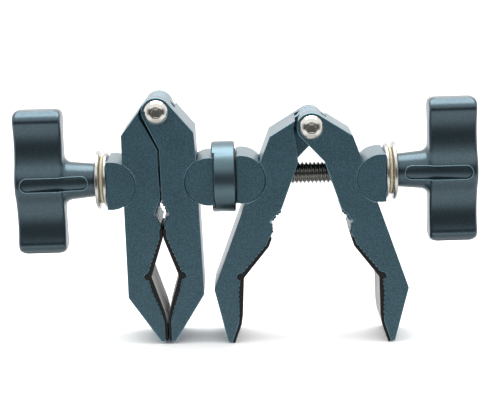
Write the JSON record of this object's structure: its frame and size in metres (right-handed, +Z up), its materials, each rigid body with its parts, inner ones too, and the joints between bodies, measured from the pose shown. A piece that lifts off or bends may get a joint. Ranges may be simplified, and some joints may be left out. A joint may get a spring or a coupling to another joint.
{
  "type": "double jaw clamp",
  "caption": "Two hinged, rubber-lined jaw clamps joined back to back by a swivel collar on one spindle, each closed by a T-knob on a threaded stud.",
  "frame": {"origin": "centre of the footprint, on the surface that the jaw tips stand on", "axes": "+X from the closed clamp's knob to the open clamp's knob, +Y to the back, +Z up"},
  "size_m": [0.2064, 0.0316, 0.1113],
  "materials": {
    "anodised_aluminium": "blasted and anodised blue-grey, satin",
    "painted_alloy": "metallic grey-blue paint, semi-gloss",
    "stainless_steel": "polished",
    "plated_steel": "zinc-plated",
    "blackened_steel": "dark, oiled thread",
    "nylon": "natural, slightly translucent",
    "acetal": "black, smooth",
    "rubber": "black, matte, ribbed"
  },
  "bodies": {
    "spindle": {"coupling_collar": "anodised_aluminium", "swivel_disc": "acetal", "left_inner_barrel": "anodised_aluminium", "left_stud": "blackened_steel"},
    "right_spindle": {"right_inner_barrel": "anodised_aluminium", "right_stud": "blackened_steel"},
    "left_inner": {"left_inner_jaw": "anodised_aluminium", "left_inner_pad": "rubber", "left_hinge_screw": "stainless_steel", "left_hinge_nut": "stainless_steel"},
    "left_outer": {"left_outer_jaw": "anodised_aluminium", "left_outer_pad": "rubber"},
    "left_slider": {"left_outer_barrel": "anodised_aluminium", "left_barrel_washer": "plated_steel", "left_nylon_washer": "nylon"},
    "left_handle": {"left_knob": "painted_alloy", "left_knob_washer": "plated_steel"},
    "right_inner": {"right_inner_jaw": "anodised_aluminium", "right_inner_pad": "rubber", "right_hinge_screw": "stainless_steel", "right_hinge_nut": "stainless_steel"},
    "right_outer": {"right_outer_jaw": "anodised_aluminium", "right_outer_pad": "rubber"},
    "right_slider": {"right_outer_barrel": "anodised_aluminium", "right_barrel_washer": "plated_steel", "right_nylon_washer": "nylon"},
    "right_handle": {"right_knob": "painted_alloy", "right_knob_washer": "plated_steel"}
  },
  "joints": [
    {"name": "left_opening", "type": "hinge", "parent": "left_inner", "child": "left_outer", "pos_m": [-0.03902, 0, 0.10487], "axis": [0, 1, 0], "range_deg": [0, 9]},
    {"name": "left_inner_pivot", "type": "hinge", "parent": "spindle", "child": "left_inner", "pos_m": [-0.01632, 0, 0.07374], "axis": [0, 1, 0], "range_deg": [-4.6, 0.1]},
    {"name": "left_outer_pivot", "type": "hinge", "parent": "left_outer", "child": "left_slider", "pos_m": [-0.05949, 0, 0.07224], "axis": [0, 1, 0], "range_deg": [-4.6, 0.1]},
    {"name": "left_knob_turn", "type": "hinge", "parent": "left_slider", "child": "left_handle", "pos_m": [-0.05951, 0, 0.07295], "axis": [0.9998, 0, 0.0183], "continuous": true},
    {"name": "right_opening", "type": "hinge", "parent": "right_inner", "child": "right_outer", "pos_m": [0.0286, 0, 0.09757], "axis": [0, -1, 0], "range_deg": [-38.6, 0]},
    {"name": "right_inner_pivot", "type": "hinge", "parent": "right_spindle", "child": "right_inner", "pos_m": [-0.00233, 0, 0.0746], "axis": [0, -1, 0], "range_deg": [-0.1, 19.4]},
    {"name": "right_outer_pivot", "type": "hinge", "parent": "right_outer", "child": "right_slider", "pos_m": [0.05953, 0, 0.0746], "axis": [0, -1, 0], "range_deg": [-0.1, 19.4]},
    {"name": "right_knob_turn", "type": "hinge", "parent": "right_slider", "child": "right_handle", "pos_m": [0.05951, 0, 0.07573], "axis": [0.9998, 0, 0.0183], "continuous": true},
    {"name": "right_swivel", "type": "hinge", "parent": "spindle", "child": "right_spindle", "pos_m": [-0.00233, 0, 0.0746], "axis": [0.9998, 0, 0.0183], "continuous": true}
  ],
  "couplings": [
    {"joint": "left_inner_pivot", "follows": "left_opening", "ratio": -0.5},
    {"joint": "left_outer_pivot", "follows": "left_opening", "ratio": -0.5},
    {"joint": "right_inner_pivot", "follows": "right_opening", "ratio": -0.5},
    {"joint": "right_outer_pivot", "follows": "right_opening", "ratio": -0.5}
  ]
}
